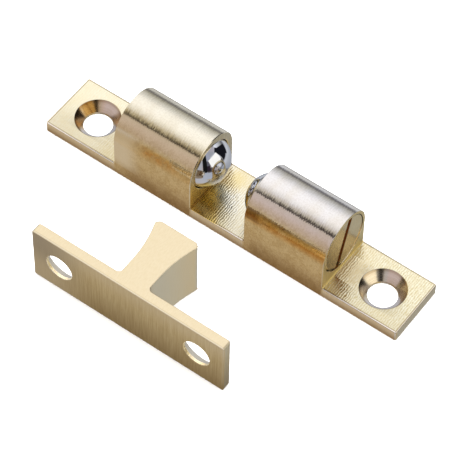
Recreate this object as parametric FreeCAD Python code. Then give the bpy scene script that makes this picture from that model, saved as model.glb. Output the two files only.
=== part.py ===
import FreeCAD, Part
import math
import os

# Double ball catch and its strike, in millimetres.
# The brass body lies flat on the frame that it is screwed to: +X runs along it, +Z points away from
# the frame, and the origin is the middle of its back face. Two arched housings face each other
# across a mouth. Each one holds a ball behind a rolled lip, a compression spring that presses on the
# ball, and a slotted adjusting screw that sets the spring. The T-shaped strike stands beside the
# body on one long edge, with its head towards the body.

# Balls
ball_diameter = 8.0
ball_protrusion = 2.5
ball_clearance = 0.05

# Springs, at the length that they are fitted
wire_diameter = 0.6
coil_diameter = 5.2
coil_turns = 5
spring_length = 6.23
spring_clearance = 0.05

# Adjusting screws, in a thread that is cut outside the balls' bore
thread_depth = 0.45
thread_clearance = 0.05
thread_run_out = 1.4
screw_length = 3.0
screw_recess = 0.1
screw_chamfer = 0.12
slot_width = 0.5
slot_depth = 0.8
right_slot_lean = 17.0
left_slot_lean = -38.0
pocket_depth = 1.0
pocket_clearance = 0.3

# Housings, milled from one bar with the plate
housing_wall = 0.5
bore_floor = 0.6
mouth_width = 9.1
lip_bevel = 0.4
lip_chamfer = 0.2
foot_radius = 0.3

# Plate, with a countersunk hole in the tab at each end
plate_thickness = 1.8
driver_room = 3.38
end_margin = 2.13
corner_radius = 0.3
edge_break = 0.15

# Screw holes of the plate and the strike
hole_diameter = 4.3
hole_land = 0.4
countersink_angle = 82.0

# Strike
strike_thickness = 1.7
strike_spacing = 23.0
strike_end = 4.5
strike_gap = 8.6
head_clearance = 0.1
tip_clearance = 0.7
neck_preload = 0.35
neck_length = 2.6
tip_radius = 0.8
root_radius = 0.6
end_radius = 0.5

# Sizes along a bore, from the housing's inner face outwards
ball_radius = ball_diameter / 2
bore_radius = ball_radius + ball_clearance
ball_centre = ball_radius - ball_protrusion
wire_radius = wire_diameter / 2
coil_inner_radius = coil_diameter / 2 - wire_radius
coil_outer_radius = coil_diameter / 2 + wire_radius
spring_front = ball_centre + math.sqrt(ball_radius**2 - coil_inner_radius**2) + spring_clearance
spring_back = spring_front + spring_length
screw_inner_end = spring_back + spring_clearance - pocket_depth
housing_length = screw_inner_end + screw_length + screw_recess
thread_start = screw_inner_end - thread_run_out

# Sizes across the body
thread_radius = bore_radius + thread_depth
screw_radius = thread_radius - thread_clearance
body_width = 2 * (thread_radius + housing_wall)
bore_height = plate_thickness + bore_floor + thread_radius
body_height = bore_height + body_width / 2

# Sizes along the body
hole_slope = math.tan(math.radians(countersink_angle / 2))
countersink_radius = hole_diameter / 2 + (plate_thickness - hole_land) * hole_slope
tab_length = driver_room + 2 * countersink_radius + end_margin
housing_outer = mouth_width / 2 + housing_length
body_length = 2 * (housing_outer + tab_length)
fixing_spacing = 2 * (housing_outer + driver_room + countersink_radius)

# Sizes of the strike, which the mouth and the balls set
ball_gap = mouth_width - 2 * ball_protrusion
neck_half = ball_gap / 2 + neck_preload
tip_half = mouth_width / 2 - tip_clearance
head_depth = body_height - plate_thickness - head_clearance
strike_length = strike_spacing + 2 * strike_end
strike_height = body_width
tip_y = -body_width / 2 - strike_gap
strike_back_y = tip_y - head_depth
strike_front_y = strike_back_y - strike_thickness

overshoot = 1.0


def point(x, y, z):
    return FreeCAD.Vector(x, y, z)


def line(start, end):
    return Part.LineSegment(start, end).toShape()


def arc(start, middle, end):
    return Part.Arc(start, middle, end).toShape()


def rod(start, end, radius):
    """Solid cylinder about the bore's own axis."""
    return Part.makeCylinder(radius, end - start, point(start, 0, 0), point(1, 0, 0))


def edges_where(shape, test):
    """Edges of a shape whose ends and middle all pass the test."""
    chosen = []
    for edge in shape.Edges:
        middle = edge.valueAt((edge.FirstParameter + edge.LastParameter) / 2)
        places = [vertex.Point for vertex in edge.Vertexes] + [middle]
        if all(test(place) for place in places):
            chosen.append(edge)
    return chosen


def near(value, target):
    return abs(value - target) < 1e-5


def place(shape, side):
    """Moves a shape from its bore's own frame to the right (1) or left (-1) bore."""
    placed = shape.copy()
    if side < 0:
        placed.rotate(point(0, 0, 0), point(0, 0, 1), 180)
    placed.translate(point(side * mouth_width / 2, 0, bore_height))
    return placed


def screw_hole(thickness):
    """Cutter of a countersunk hole down through a wall, with its top at z = 0."""
    depth = thickness - hole_land
    drill_end = point(0, 0, -thickness - overshoot)
    drill = Part.makeCylinder(hole_diameter / 2, thickness + 2 * overshoot, drill_end)
    top_radius = hole_diameter / 2 + (depth + overshoot) * hole_slope
    cone = Part.makeCone(hole_diameter / 2, top_radius, depth + overshoot, point(0, 0, -depth))
    return drill.fuse(cone)


def plate():
    """Flat plate with rounded corners and a broken front edge, drilled near both ends."""
    corner = point(-body_length / 2, -body_width / 2, 0)
    solid = Part.makeBox(body_length, body_width, plate_thickness, corner)
    upright = [edge for edge in solid.Edges if near(edge.Length, plate_thickness)]
    solid = solid.makeFillet(corner_radius, upright)
    rim = edges_where(solid, lambda p: near(p.z, plate_thickness))
    solid = solid.makeChamfer(edge_break, rim)
    for side in (1, -1):
        hole = screw_hole(plate_thickness)
        hole.translate(point(side * fixing_spacing / 2, 0, plate_thickness))
        solid = solid.cut(hole)
    return solid


def housing():
    """Arched block of one housing in its bore's frame, from the frame's surface up."""
    half = body_width / 2
    left_foot, right_foot = point(0, -half, -bore_height), point(0, half, -bore_height)
    left_spring, right_spring = point(0, -half, 0), point(0, half, 0)
    outline = Part.Wire([
        line(left_foot, left_spring),
        arc(left_spring, point(0, 0, half), right_spring),
        line(right_spring, right_foot),
        line(right_foot, left_foot),
    ])
    block = Part.Face(outline).extrude(point(housing_length, 0, 0))
    above_foot = -bore_height + foot_radius
    inner = edges_where(block, lambda p: near(p.x, 0))
    inner = [edge for edge in inner if edge.BoundBox.ZMax > above_foot]
    block = block.makeChamfer(lip_bevel, inner)
    outer = edges_where(block, lambda p: near(p.x, housing_length))
    outer = [edge for edge in outer if edge.BoundBox.ZMax > above_foot]
    return block.makeChamfer(edge_break, outer)


def foot(face, direction, inset):
    """Fillet between a housing's end face and the plate, in the bore's frame."""
    low = plate_thickness - bore_height
    y = -body_width / 2 + inset
    corner = point(face, y, low)
    out = point(face + direction * foot_radius, y, low)
    up = point(face, y, low + foot_radius)
    bow = foot_radius * (1 - math.sqrt(0.5))
    middle = point(face + direction * bow, y, low + bow)
    section = Part.Face(Part.Wire([line(corner, out), arc(out, middle, up), line(up, corner)]))
    return section.extrude(point(0, body_width - 2 * inset, 0))


def hollow():
    """Inside of one housing: chamfered lip, spherical seat, ball bore and wider thread."""
    lip_radius = math.sqrt(bore_radius**2 - ball_centre**2) + lip_chamfer
    seat = ball_centre - lip_chamfer
    seat_radius = math.sqrt(bore_radius**2 - seat**2)
    lift = math.atan2(seat_radius, seat) / 2 + math.pi / 4
    seat_middle_x = ball_centre - bore_radius * math.cos(lift)
    seat_middle = point(seat_middle_x, 0, bore_radius * math.sin(lift))
    end = housing_length + overshoot
    corners = [
        point(ball_centre, 0, bore_radius),
        point(thread_start, 0, bore_radius),
        point(thread_start, 0, thread_radius),
        point(end, 0, thread_radius),
        point(end, 0, 0),
        point(-overshoot, 0, 0),
        point(-overshoot, 0, lip_radius),
        point(0, 0, lip_radius),
        point(lip_chamfer, 0, seat_radius),
    ]
    edges = [line(a, b) for a, b in zip(corners, corners[1:])]
    edges.append(arc(corners[-1], seat_middle, corners[0]))
    return Part.Face(Part.Wire(edges)).revolve(point(0, 0, 0), point(1, 0, 0), 360)


def catch_body():
    """Plate and both housings as one piece of brass."""
    block = housing().fuse([foot(0, -1, lip_bevel), foot(housing_length, 1, edge_break)])
    solid = plate().fuse([place(block, 1), place(block, -1)])
    for side in (1, -1):
        solid = solid.cut(place(hollow(), side))
    return solid.removeSplitter()


def ball():
    return Part.makeSphere(ball_radius, point(ball_centre, 0, 0))


def spring():
    """Round wire in a helix, with both ends ground flat."""
    radius = coil_diameter / 2
    path = Part.makeHelix(spring_length / coil_turns, spring_length, radius)
    section = Part.Wire(Part.makeCircle(wire_radius, point(radius, 0, 0), point(0, 1, 0)))
    wire = Part.Wire(path).makePipeShell([section], True, True)
    wire.rotate(point(0, 0, 0), point(0, 1, 0), 90)
    wire.translate(point(spring_front, 0, 0))
    return wire.common(rod(spring_front, spring_back, coil_outer_radius + overshoot))


def adjusting_screw(slot_lean):
    """Headless screw with a driver slot outside and a pocket for the spring inside."""
    outer_face = screw_inner_end + screw_length
    solid = rod(screw_inner_end, outer_face, screw_radius)
    solid = solid.makeChamfer(screw_chamfer, edges_where(solid, lambda p: near(p.x, outer_face)))
    pocket_radius = coil_outer_radius + pocket_clearance
    solid = solid.cut(rod(screw_inner_end - overshoot, screw_inner_end + pocket_depth, pocket_radius))
    slot_length = 2 * (screw_radius + overshoot)
    slot_corner = point(outer_face - slot_depth, -slot_width / 2, -slot_length / 2)
    slot = Part.makeBox(slot_depth + overshoot, slot_width, slot_length, slot_corner)
    slot.rotate(point(0, 0, 0), point(1, 0, 0), -slot_lean)
    return solid.cut(slot)


def strike():
    """T-shaped strike: drilled plate and a head that flares out from a straight neck."""
    half = strike_length / 2
    neck_y = strike_back_y + neck_length
    flare_depth = tip_y - neck_y
    flare_width = tip_half - neck_half
    flare_radius = (flare_depth**2 + flare_width**2) / (2 * flare_width)
    half_turn = math.asin(flare_depth / flare_radius) / 2
    flare_x = neck_half + flare_radius * (1 - math.cos(half_turn))
    flare_y = neck_y + flare_radius * math.sin(half_turn)
    edges = [
        line(point(-half, strike_front_y, 0), point(half, strike_front_y, 0)),
        line(point(-tip_half, tip_y, 0), point(tip_half, tip_y, 0)),
    ]
    for side in (1, -1):
        end_front = point(side * half, strike_front_y, 0)
        end_back = point(side * half, strike_back_y, 0)
        root = point(side * neck_half, strike_back_y, 0)
        neck = point(side * neck_half, neck_y, 0)
        flare = point(side * flare_x, flare_y, 0)
        tip = point(side * tip_half, tip_y, 0)
        edges += [line(end_front, end_back), line(end_back, root), line(root, neck)]
        edges.append(arc(neck, flare, tip))
    outline = Part.Wire(Part.sortEdges(edges)[0])
    solid = Part.Face(outline).extrude(point(0, 0, strike_height))
    roundings = [
        (tip_radius, tip_half, tip_y),
        (root_radius, neck_half, strike_back_y),
        (end_radius, half, strike_back_y),
    ]
    for radius, x, y in roundings:
        upright = edges_where(solid, lambda p: near(abs(p.x), x) and near(p.y, y))
        solid = solid.makeFillet(radius, upright)
    rims = edges_where(solid, lambda p: near(p.z, strike_height))
    rims += edges_where(solid, lambda p: near(p.z, 0))
    solid = solid.makeChamfer(edge_break, rims)
    for side in (1, -1):
        hole = screw_hole(strike_thickness)
        hole.rotate(point(0, 0, 0), point(1, 0, 0), -90)
        hole.translate(point(side * strike_spacing / 2, strike_back_y, strike_height / 2))
        solid = solid.cut(hole)
    return solid


def pieces():
    """Every piece of the catch by its name."""
    return {
        "catch_body": catch_body(),
        "left_ball": place(ball(), -1),
        "right_ball": place(ball(), 1),
        "left_spring": place(spring(), -1),
        "right_spring": place(spring(), 1),
        "left_adjusting_screw": place(adjusting_screw(left_slot_lean), -1),
        "right_adjusting_screw": place(adjusting_screw(right_slot_lean), 1),
        "strike_plate": strike(),
    }


os.makedirs("parts", exist_ok=True)
for name, shape in pieces().items():
    shape.exportStep("parts/" + name + ".step")
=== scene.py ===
import math
from types import SimpleNamespace

import bmesh
import bpy
import numpy as np
from mathutils import Matrix, Vector


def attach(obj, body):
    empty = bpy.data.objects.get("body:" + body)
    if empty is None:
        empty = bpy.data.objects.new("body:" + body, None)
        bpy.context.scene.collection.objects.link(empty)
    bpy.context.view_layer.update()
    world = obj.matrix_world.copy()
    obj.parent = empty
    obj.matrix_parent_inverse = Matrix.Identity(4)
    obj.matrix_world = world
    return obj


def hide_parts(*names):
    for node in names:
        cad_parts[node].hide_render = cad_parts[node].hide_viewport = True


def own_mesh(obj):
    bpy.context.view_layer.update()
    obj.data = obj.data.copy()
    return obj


# Looks of a double ball catch and its strike. Shapes are worked out in millimetres, in the frame of
# the solids, and brought to metres at the end.

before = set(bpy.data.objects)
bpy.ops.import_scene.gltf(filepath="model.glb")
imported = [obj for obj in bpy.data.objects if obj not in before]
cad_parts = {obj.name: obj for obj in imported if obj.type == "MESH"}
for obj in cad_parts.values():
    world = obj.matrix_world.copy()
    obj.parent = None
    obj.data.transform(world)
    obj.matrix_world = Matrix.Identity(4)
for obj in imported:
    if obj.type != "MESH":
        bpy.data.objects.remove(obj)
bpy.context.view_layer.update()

MM = 0.001

# Catch body: plate, housings and their edges
HALF_WIDTH = 5.0
PLATE = 1.8
EDGE = 0.15  # rounding of the plate's upper edge
CORNER = 0.3  # rounding of a tab's corners
FOOT = 0.2  # fillet between plate and housing
LIP = 0.13  # bevel round a housing's inner face
RIM = 0.08  # rounding round a housing's outer face
INNER_FACE = 4.55
OUTER_FACE = 17.753
END = 29.997
BORE_HEIGHT = 6.9
SCREW_HOLE_X = 24.5
HOLE = 2.15  # radius of a screw hole
COUNTERSINK = 3.367  # radius of its cone at the top
HOLE_LAND = 0.4  # straight part under the cone
HOLE_CHAMFER = 0.06
OVERCUT = 0.5  # how far a cutter stands out of the metal

# Bore, ball, spring and adjusting screw, measured outwards from the housing's inner face
BORE = 4.05
BALL = 4.0
BALL_CENTRE = 1.5
BALL_TRAVEL = 2.0  # range of its slide joint
SCREW_TRAVEL = 1.125  # range of its feed joint
THREAD_START = 8.703
THREAD = 4.5
SCREW = 4.45
SCREW_INNER = 10.103
SCREW_OUTER = 13.103
PITCH = 0.75
THREAD_DEPTH = 0.33
POCKET = 3.2
POCKET_DEPTH = 1.0
SLOT_WIDTH = 0.9
SLOT_DEPTH = 0.55
SPRING_FRONT = 4.823
SPRING_BACK = 11.053
SPRING_SPLIT = 8.81  # where the spring stands still whatever moves
SPRING_RADIUS = 2.6
WIRE = 0.3
LEFT_LEAN = -38.0  # degrees of the screw's slot off the upright
RIGHT_LEAN = 17.0

# Strike
STRIKE_HALF = 16.0
STRIKE_FRONT = -25.3
STRIKE_BACK = -23.6
STRIKE_HEIGHT = 10.0
STRIKE_HOLE_X = 11.5
NECK = 2.4  # half of its width
NECK_END = -21.0  # where its sides start to flare
TIP = 3.85  # half of its width
TIP_Y = -13.6
TIP_RADIUS = 0.8
ROOT_RADIUS = 0.6  # fillet between plate and neck
BACK_RADIUS = 0.5  # plate's corners on the head's side
FRONT_RADIUS = 0.18  # plate's corners on the other side
END_ROUND = 0.4  # plate's ends, seen from the front


def grid_faces(rows, columns):
    """Faces of a grid whose rows close on themselves.

    Face (i, j) joins point j of row i to point j + 1, then to the same two of row i + 1.
    """
    i, j = np.meshgrid(np.arange(rows - 1), np.arange(columns), indexing="ij")
    k = (j + 1) % columns
    corners = [i * columns + j, i * columns + k, (i + 1) * columns + k, (i + 1) * columns + j]
    return np.stack(corners, -1).reshape(-1, 4)


def solid_of(loops):
    """Closed mesh through loops of matched points, with a flat cap on its first and last loop."""
    rows, columns = loops.shape[:2]
    faces = grid_faces(rows, columns).tolist()
    faces.append(list(range(columns))[::-1])
    faces.append(list(range((rows - 1) * columns, rows * columns)))
    mesh = bpy.data.meshes.new("solid")
    mesh.from_pydata(loops.reshape(-1, 3).tolist(), [], faces)
    return closed(mesh, 1e-5)


def closed(mesh, gap):
    """Merges points nearer than the gap, drops faces with no area and turns all faces outwards."""
    work = bmesh.new()
    work.from_mesh(mesh)
    bmesh.ops.remove_doubles(work, verts=work.verts, dist=gap)
    bmesh.ops.dissolve_degenerate(work, edges=work.edges, dist=gap)
    bmesh.ops.recalc_face_normals(work, faces=work.faces)
    work.to_mesh(mesh)
    work.free()
    return mesh


def turned(profile, segments, axis, centre):
    """Solid of revolution: point (a, r) of the profile goes to a along the axis and, at angle t,
    to r cos t and r sin t across it."""
    along, radius = np.array(profile, float).T
    t = np.linspace(0, 2 * np.pi, segments, endpoint=False)
    ring = np.stack([np.cos(t), np.sin(t)], -1)
    across = radius[:, None, None] * ring[None]
    a = np.broadcast_to(along[:, None, None], across.shape[:2] + (1,))
    order = {"X": [0, 1, 2], "Y": [2, 0, 1], "Z": [1, 2, 0]}[axis]
    loops = np.concatenate([a, across], -1)[..., order]
    return solid_of(loops + np.array(centre, float))


def cut(mesh, cutters):
    """The mesh with each closed cutter taken away by an exact Boolean."""
    body = bpy.data.objects.new("body", mesh)
    bpy.context.scene.collection.objects.link(body)
    tools = []
    for cutter in cutters:
        tool = bpy.data.objects.new("tool", cutter)
        bpy.context.scene.collection.objects.link(tool)
        step = body.modifiers.new("cut", "BOOLEAN")
        step.operation = "DIFFERENCE"
        step.solver = "EXACT"
        step.object = tool
        tools.append(tool)
    graph = bpy.context.evaluated_depsgraph_get()
    result = bpy.data.meshes.new_from_object(body.evaluated_get(graph))
    for made in tools + [body]:
        bpy.data.objects.remove(made)
    return closed(result, 1e-4)


def piece(name, mesh, material, body, node, slot, sharp=32.0):
    """Finished piece: edges sharper than the angle stay crisp, and flat faces keep flat normals."""
    mesh.transform(Matrix.Scale(MM, 4))
    mesh.shade_smooth()
    mesh.set_sharp_from_angle(angle=math.radians(sharp))
    mesh.materials.clear()
    mesh.materials.append(material)
    thing = bpy.data.objects.new(name, mesh)
    bpy.context.scene.collection.objects.link(thing)
    even = thing.modifiers.new("even", "WEIGHTED_NORMAL")
    even.keep_sharp = True
    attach(thing, body)
    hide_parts(node)
    return thing


def body_loop(x, half, top, corner, block, lift, arched):
    """Outline of the body across X, as 1 + 5 + 2 points a side and 3 + 73 + 3 over the top.

    It goes from the foot up the side to z = top - EDGE, round the plate's edge (a quarter circle
    as far as corner is 1, straight up where it is 0), in to y = block, and up by lift. From there
    it runs straight across, or up to the bore's height and over a half circle if arched.
    """
    turn = np.linspace(0, np.pi / 2, 5)
    step = top - (PLATE - EDGE)
    edge_y = half - corner * step * (1 - np.cos(turn))
    edge_z = PLATE - EDGE + step * (corner * np.sin(turn) + (1 - corner) * turn / (np.pi / 2))
    side_y = np.concatenate([[half], edge_y, [block, block]])
    side_z = np.concatenate([[0], edge_z, [top, top + lift]])
    rise = np.linspace(0, 1, 5)[1:-1]
    t = np.linspace(0, np.pi, 73)
    if arched:
        up = top + lift + (BORE_HEIGHT - top - lift) * rise
        over_y = np.concatenate([block + 0 * rise, block * np.cos(t), -block + 0 * rise])
        over_z = np.concatenate([up, BORE_HEIGHT + block * np.sin(t), up[::-1]])
    else:
        over_y = np.linspace(block, -block, 81)[1:-1]
        over_z = top + lift + 0 * over_y
    y = np.concatenate([side_y, over_y, -side_y[::-1]])
    z = np.concatenate([side_z, over_z, side_z[::-1]])
    return np.stack([x + 0 * y, y, z], -1)


def catch_body_mesh():
    """Body as one skin of outlines along X, mirrored at the middle, with its holes cut.

    From the middle outwards: plate, fillet x = f sin t, lift f (1 - cos t), lip bevel with rounded
    edges, arch, outer edge (a quarter circle), fillet, plate, and the rounded end of the tab,
    whose flat top starts 0.02 mm inside its rounded edge to keep the outline's points apart.
    """
    turn = np.linspace(0, np.pi / 2, 7)
    right = []
    for t in turn:
        x, lift = INNER_FACE - FOOT + FOOT * math.sin(t), FOOT * (1 - math.cos(t))
        right.append(body_loop(x, HALF_WIDTH, PLATE, 1, HALF_WIDTH - LIP, lift, False))
    bevel = [(0, LIP), (0.006, 0.11), (0.02, 0.085)]
    bevel += [(step, out) for out, step in bevel[::-1]]
    for out, step in bevel:
        shape = (HALF_WIDTH, PLATE, step / LIP, HALF_WIDTH - step, FOOT, True)
        right.append(body_loop(INNER_FACE + out, *shape))
    for t in np.linspace(0, np.pi / 2, 6):
        x, step = OUTER_FACE - RIM + RIM * math.sin(t), RIM * (1 - math.cos(t))
        shape = (HALF_WIDTH, PLATE, step / RIM, HALF_WIDTH - step, FOOT, True)
        right.append(body_loop(x, *shape))
    for t in turn[::-1]:
        x, lift = OUTER_FACE + FOOT - FOOT * math.sin(t), FOOT * (1 - math.cos(t))
        right.append(body_loop(x, HALF_WIDTH, PLATE, 1, HALF_WIDTH - RIM, lift, False))
    for t in turn:
        x, half = END - CORNER + CORNER * math.sin(t), HALF_WIDTH - CORNER * (1 - math.cos(t))
        past = max(x - (END - EDGE), 0)
        top = PLATE - EDGE + math.sqrt(max(EDGE**2 - past**2, 0))
        right.append(body_loop(x, half, top, 1, half - EDGE - 0.02, 0, False))
    right = np.array(right)
    left = right[::-1] * np.array([-1, 1, 1])
    skin = solid_of(np.concatenate([left, right]))
    cutters = []
    for side in (-1, 1):
        hollow = turned(bore_profile(), 120, "X", (0, 0, BORE_HEIGHT))
        hollow.transform(Matrix.Scale(side, 4, Vector((1, 0, 0))))
        cutters.append(closed(hollow, 1e-5))
        hole = screw_hole_profile(PLATE)
        cutters.append(turned(hole, 96, "Z", (side * SCREW_HOLE_X, 0, PLATE)))
    return cut(skin, cutters)


def bore_profile():
    """Inside of a housing as (x, r): lip chamfer, round seat, ball bore, thread, end chamfer."""
    lip = math.sqrt(BORE**2 - BALL_CENTRE**2)
    a = np.linspace(math.acos(BALL_CENTRE / BORE), math.pi / 2, 13)
    seat = [(INNER_FACE + BALL_CENTRE - BORE * math.cos(t), BORE * math.sin(t)) for t in a]
    seat = [p for p in seat if p[0] > INNER_FACE + 0.12]
    start = INNER_FACE + THREAD_START
    return [
        (INNER_FACE - OVERCUT, 0),
        (INNER_FACE - OVERCUT, lip + 0.2),
        (INNER_FACE, lip + 0.2),
        (INNER_FACE + 0.06, lip + 0.12),
        *seat,
        (start, BORE),
        (start, THREAD),
        (OUTER_FACE - 0.04, THREAD),
        (OUTER_FACE, THREAD + 0.04),
        (OUTER_FACE + OVERCUT, THREAD + 0.04),
        (OUTER_FACE + OVERCUT, 0),
    ]


def screw_hole_profile(thickness):
    """Countersunk hole as (z, r) below its top: drilled through, then a cone with a soft rim."""
    return [
        (-thickness - OVERCUT, 0),
        (-thickness - OVERCUT, HOLE + HOLE_CHAMFER),
        (-thickness, HOLE + HOLE_CHAMFER),
        (-thickness + HOLE_CHAMFER, HOLE),
        (-thickness + HOLE_LAND, HOLE),
        (-0.05, COUNTERSINK - 0.04),
        (-0.02, COUNTERSINK),
        (0, COUNTERSINK + 0.05),
        (OVERCUT, COUNTERSINK + 0.05),
        (OVERCUT, 0),
    ]


def ball_mesh(side):
    """Sphere x = c - r cos p, with rings of radius r sin p, its poles on the bore's axis."""
    p = np.linspace(0, np.pi, 97)
    profile = np.stack([-BALL * np.cos(p), BALL * np.sin(p)], -1)
    return turned(profile, 160, "X", (side * (INNER_FACE + BALL_CENTRE), 0, BORE_HEIGHT))


def screw_mesh(side, lean):
    """Headless screw: radius r(x, t) = profile less the thread, whose depth is a V wave of
    x / pitch - t / 2 pi. A slot is cut across the outer face and a pocket lies in the inner one.
    Each row is x, r and whether the thread runs there."""
    rim = 0.07
    floor = SCREW_INNER + POCKET_DEPTH
    along = np.arange(SCREW_INNER + rim, SCREW_OUTER - rim + 1e-6, PITCH / 16)
    rows = [(floor, 0, 0), (floor, POCKET, 0), (SCREW_INNER, POCKET, 0)]
    rows += [(SCREW_INNER, SCREW - rim - 0.2, 0), (SCREW_INNER, SCREW - rim, 1)]
    rows += [(x, SCREW, 1) for x in along]
    rows += [(SCREW_OUTER - rim, SCREW, 1), (SCREW_OUTER - 0.02, SCREW - rim + 0.02, 1)]
    rows += [(SCREW_OUTER, SCREW - rim, 1), (SCREW_OUTER, SCREW - 0.6, 0), (SCREW_OUTER, 0, 0)]
    x, r, threaded = np.array(rows, float).T
    t = np.linspace(0, 2 * np.pi, 128, endpoint=False)
    wave = np.abs(((x[:, None] / PITCH - t[None] / (2 * np.pi)) % 1) * 2 - 1)
    groove = THREAD_DEPTH * np.clip(wave * 1.25 - 0.125, 0, 1)
    radius = np.minimum(r[:, None], np.where(threaded[:, None] > 0, SCREW - groove, np.inf))
    y, z = radius * np.cos(t), radius * np.sin(t)
    loops = np.stack([np.broadcast_to(x[:, None] + INNER_FACE, y.shape), y, z], -1)
    screw = solid_of(loops)
    u = np.array([-1.0, 1.0, 1.0, -1.0]) * SLOT_WIDTH / 2
    v = np.array([-1.0, -1.0, 1.0, 1.0]) * 6  # past the screw's rim
    face = INNER_FACE + SCREW_OUTER
    ends = (face - SLOT_DEPTH, face + 1)
    slot = solid_of(np.stack([np.stack([end + 0 * u, u, v], -1) for end in ends]))
    slot.transform(Matrix.Rotation(math.radians(-lean), 4, "X"))
    screw = cut(screw, [slot])
    if side < 0:
        screw.transform(Matrix.Rotation(math.pi, 4, "Z"))
    screw.transform(Matrix.Translation((0, 0, BORE_HEIGHT)))
    return screw


def spring_mesh(side, front):
    """Front or back coils of a spring: round wire along a helix, whose centre line at turn u is at
    radius R and angle 2 pi u. Its advance is slow in the end coils and even between, and both ends
    are ground flat by a clip of x. The coils are parted where the spring stays still: those in
    front give way to the ball, and those behind to the screw."""
    turns = 5.0
    u = np.linspace(0, turns, 481)
    lead = np.clip(np.minimum(u, turns - u) / 0.9, 0, 1)
    lead = lead**2 * (3 - 2 * lead)
    speed = 2 * WIRE * 1.02 + lead * 1.2
    walk = np.concatenate([[0], np.cumsum((speed[1:] + speed[:-1]) / 2 * np.diff(u))])
    first, last = SPRING_FRONT + WIRE * 0.4, SPRING_BACK - WIRE * 0.4
    x = first + walk / walk[-1] * (last - first)
    a = 2 * np.pi * u
    p = np.linspace(0, 2 * np.pi, 20, endpoint=False)
    reach = SPRING_RADIUS + WIRE * np.cos(p)[None]
    loops = np.stack([
        x[:, None] + WIRE * np.sin(p)[None] + 0 * reach,
        reach * np.cos(a)[:, None],
        reach * np.sin(a)[:, None],
    ], -1)
    loops[..., 0] = np.clip(loops[..., 0], SPRING_FRONT, SPRING_BACK) + INNER_FACE
    cut_at = np.searchsorted(x, SPRING_SPLIT)
    spring = solid_of(loops[:cut_at] if front else loops[cut_at:])
    if side < 0:
        spring.transform(Matrix.Rotation(math.pi, 4, "Z"))
    spring.transform(Matrix.Translation((0, 0, BORE_HEIGHT)))
    return spring


def arc_points(centre, radius, start, stop, count):
    """Points centre + radius (cos t, sin t), from start to stop in degrees."""
    t = np.radians(np.linspace(start, stop, count))
    return np.stack([centre[0] + radius * np.cos(t), centre[1] + radius * np.sin(t)], -1)


def strike_outline():
    """Outline of the strike in plan: the right half from front to tip, then its mirror image.

    The head's side is straight beside the neck, then one arc that is tangent to it. A circle of
    the tip's radius touches both that arc and the tip, so its centre is their radii's sum away.
    """
    depth, width = TIP_Y - NECK_END, TIP - NECK
    flare = (depth**2 + width**2) / (2 * width)
    hub = (NECK + flare, NECK_END)
    tip_y = TIP_Y - TIP_RADIUS
    tip_x = hub[0] - math.sqrt((flare + TIP_RADIUS) ** 2 - (tip_y - hub[1]) ** 2)
    lift = math.degrees(math.atan2(tip_y - hub[1], hub[0] - tip_x))
    front = (STRIKE_HALF - FRONT_RADIUS, STRIKE_FRONT + FRONT_RADIUS)
    back = (STRIKE_HALF - BACK_RADIUS, STRIKE_BACK - BACK_RADIUS)
    right = np.concatenate([
        [(6.0, STRIKE_FRONT)],
        arc_points(front, FRONT_RADIUS, -90, 0, 6),
        arc_points(back, BACK_RADIUS, 0, 90, 9),
        arc_points((NECK + ROOT_RADIUS, STRIKE_BACK + ROOT_RADIUS), ROOT_RADIUS, 270, 180, 10),
        arc_points(hub, flare, 180, 180 - lift, 33),
        arc_points((tip_x, tip_y), TIP_RADIUS, -lift, 90, 13),
    ])
    return np.concatenate([right, right[::-1] * np.array([-1, 1])])


def inset(outline, distance):
    """Outline moved inwards: each point goes along the mean of its two sides' normals."""
    side = np.roll(outline, -1, 0) - outline
    side /= np.linalg.norm(side, axis=1)[:, None]
    normal = np.stack([-side[:, 1], side[:, 0]], -1)
    mean = normal + np.roll(normal, 1, 0)
    mean /= (mean * normal).sum(1)[:, None]
    return outline + distance * mean


def strike_mesh():
    """Outline carried along Z with quarter-round rims, its two ends held within a wider quarter
    round, then both countersunk holes."""
    outline = strike_outline()
    t = np.linspace(0, np.pi / 2, 5)
    low = [(EDGE * (1 - math.cos(a)), EDGE * (1 - math.sin(a))) for a in t]
    low += [(z, 0) for z in (0.2, 0.26, 0.33, END_ROUND)]
    levels = low + [(STRIKE_HEIGHT - z, step) for z, step in low[::-1]]
    loops = []
    for z, step in levels:
        flat = inset(outline, step)
        past = max(END_ROUND - min(z, STRIKE_HEIGHT - z), 0)
        reach = STRIKE_HALF - END_ROUND + math.sqrt(END_ROUND**2 - past**2)
        flat[:, 0] = np.clip(flat[:, 0], -reach, reach)
        loops.append(np.column_stack([flat, np.full(len(flat), z)]))
    strike = solid_of(np.array(loops))
    cutters = []
    for side in (-1, 1):
        place = (side * STRIKE_HOLE_X, STRIKE_BACK, STRIKE_HEIGHT / 2)
        cutters.append(turned(screw_hole_profile(STRIKE_BACK - STRIKE_FRONT), 96, "Y", place))
    return cut(strike, cutters)


def linear(text):
    """Linear colour of an sRGB hex text."""
    value = np.array([int(text[i : i + 2], 16) for i in (1, 3, 5)]) / 255
    value = np.where(value <= 0.04045, value / 12.92, ((value + 0.055) / 1.055) ** 2.4)
    return (*value.tolist(), 1.0)


def add(tree, kind, links=None, **settings):
    """Adds a node. Settings are its properties, and links the values or outputs its inputs take."""
    node = tree.nodes.new(kind)
    for name, value in settings.items():
        setattr(node, name, value)
    for name, value in (links or {}).items():
        if isinstance(value, bpy.types.NodeSocket):
            tree.links.new(value, node.inputs[name])
        else:
            node.inputs[name].default_value = value
    return node


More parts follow.
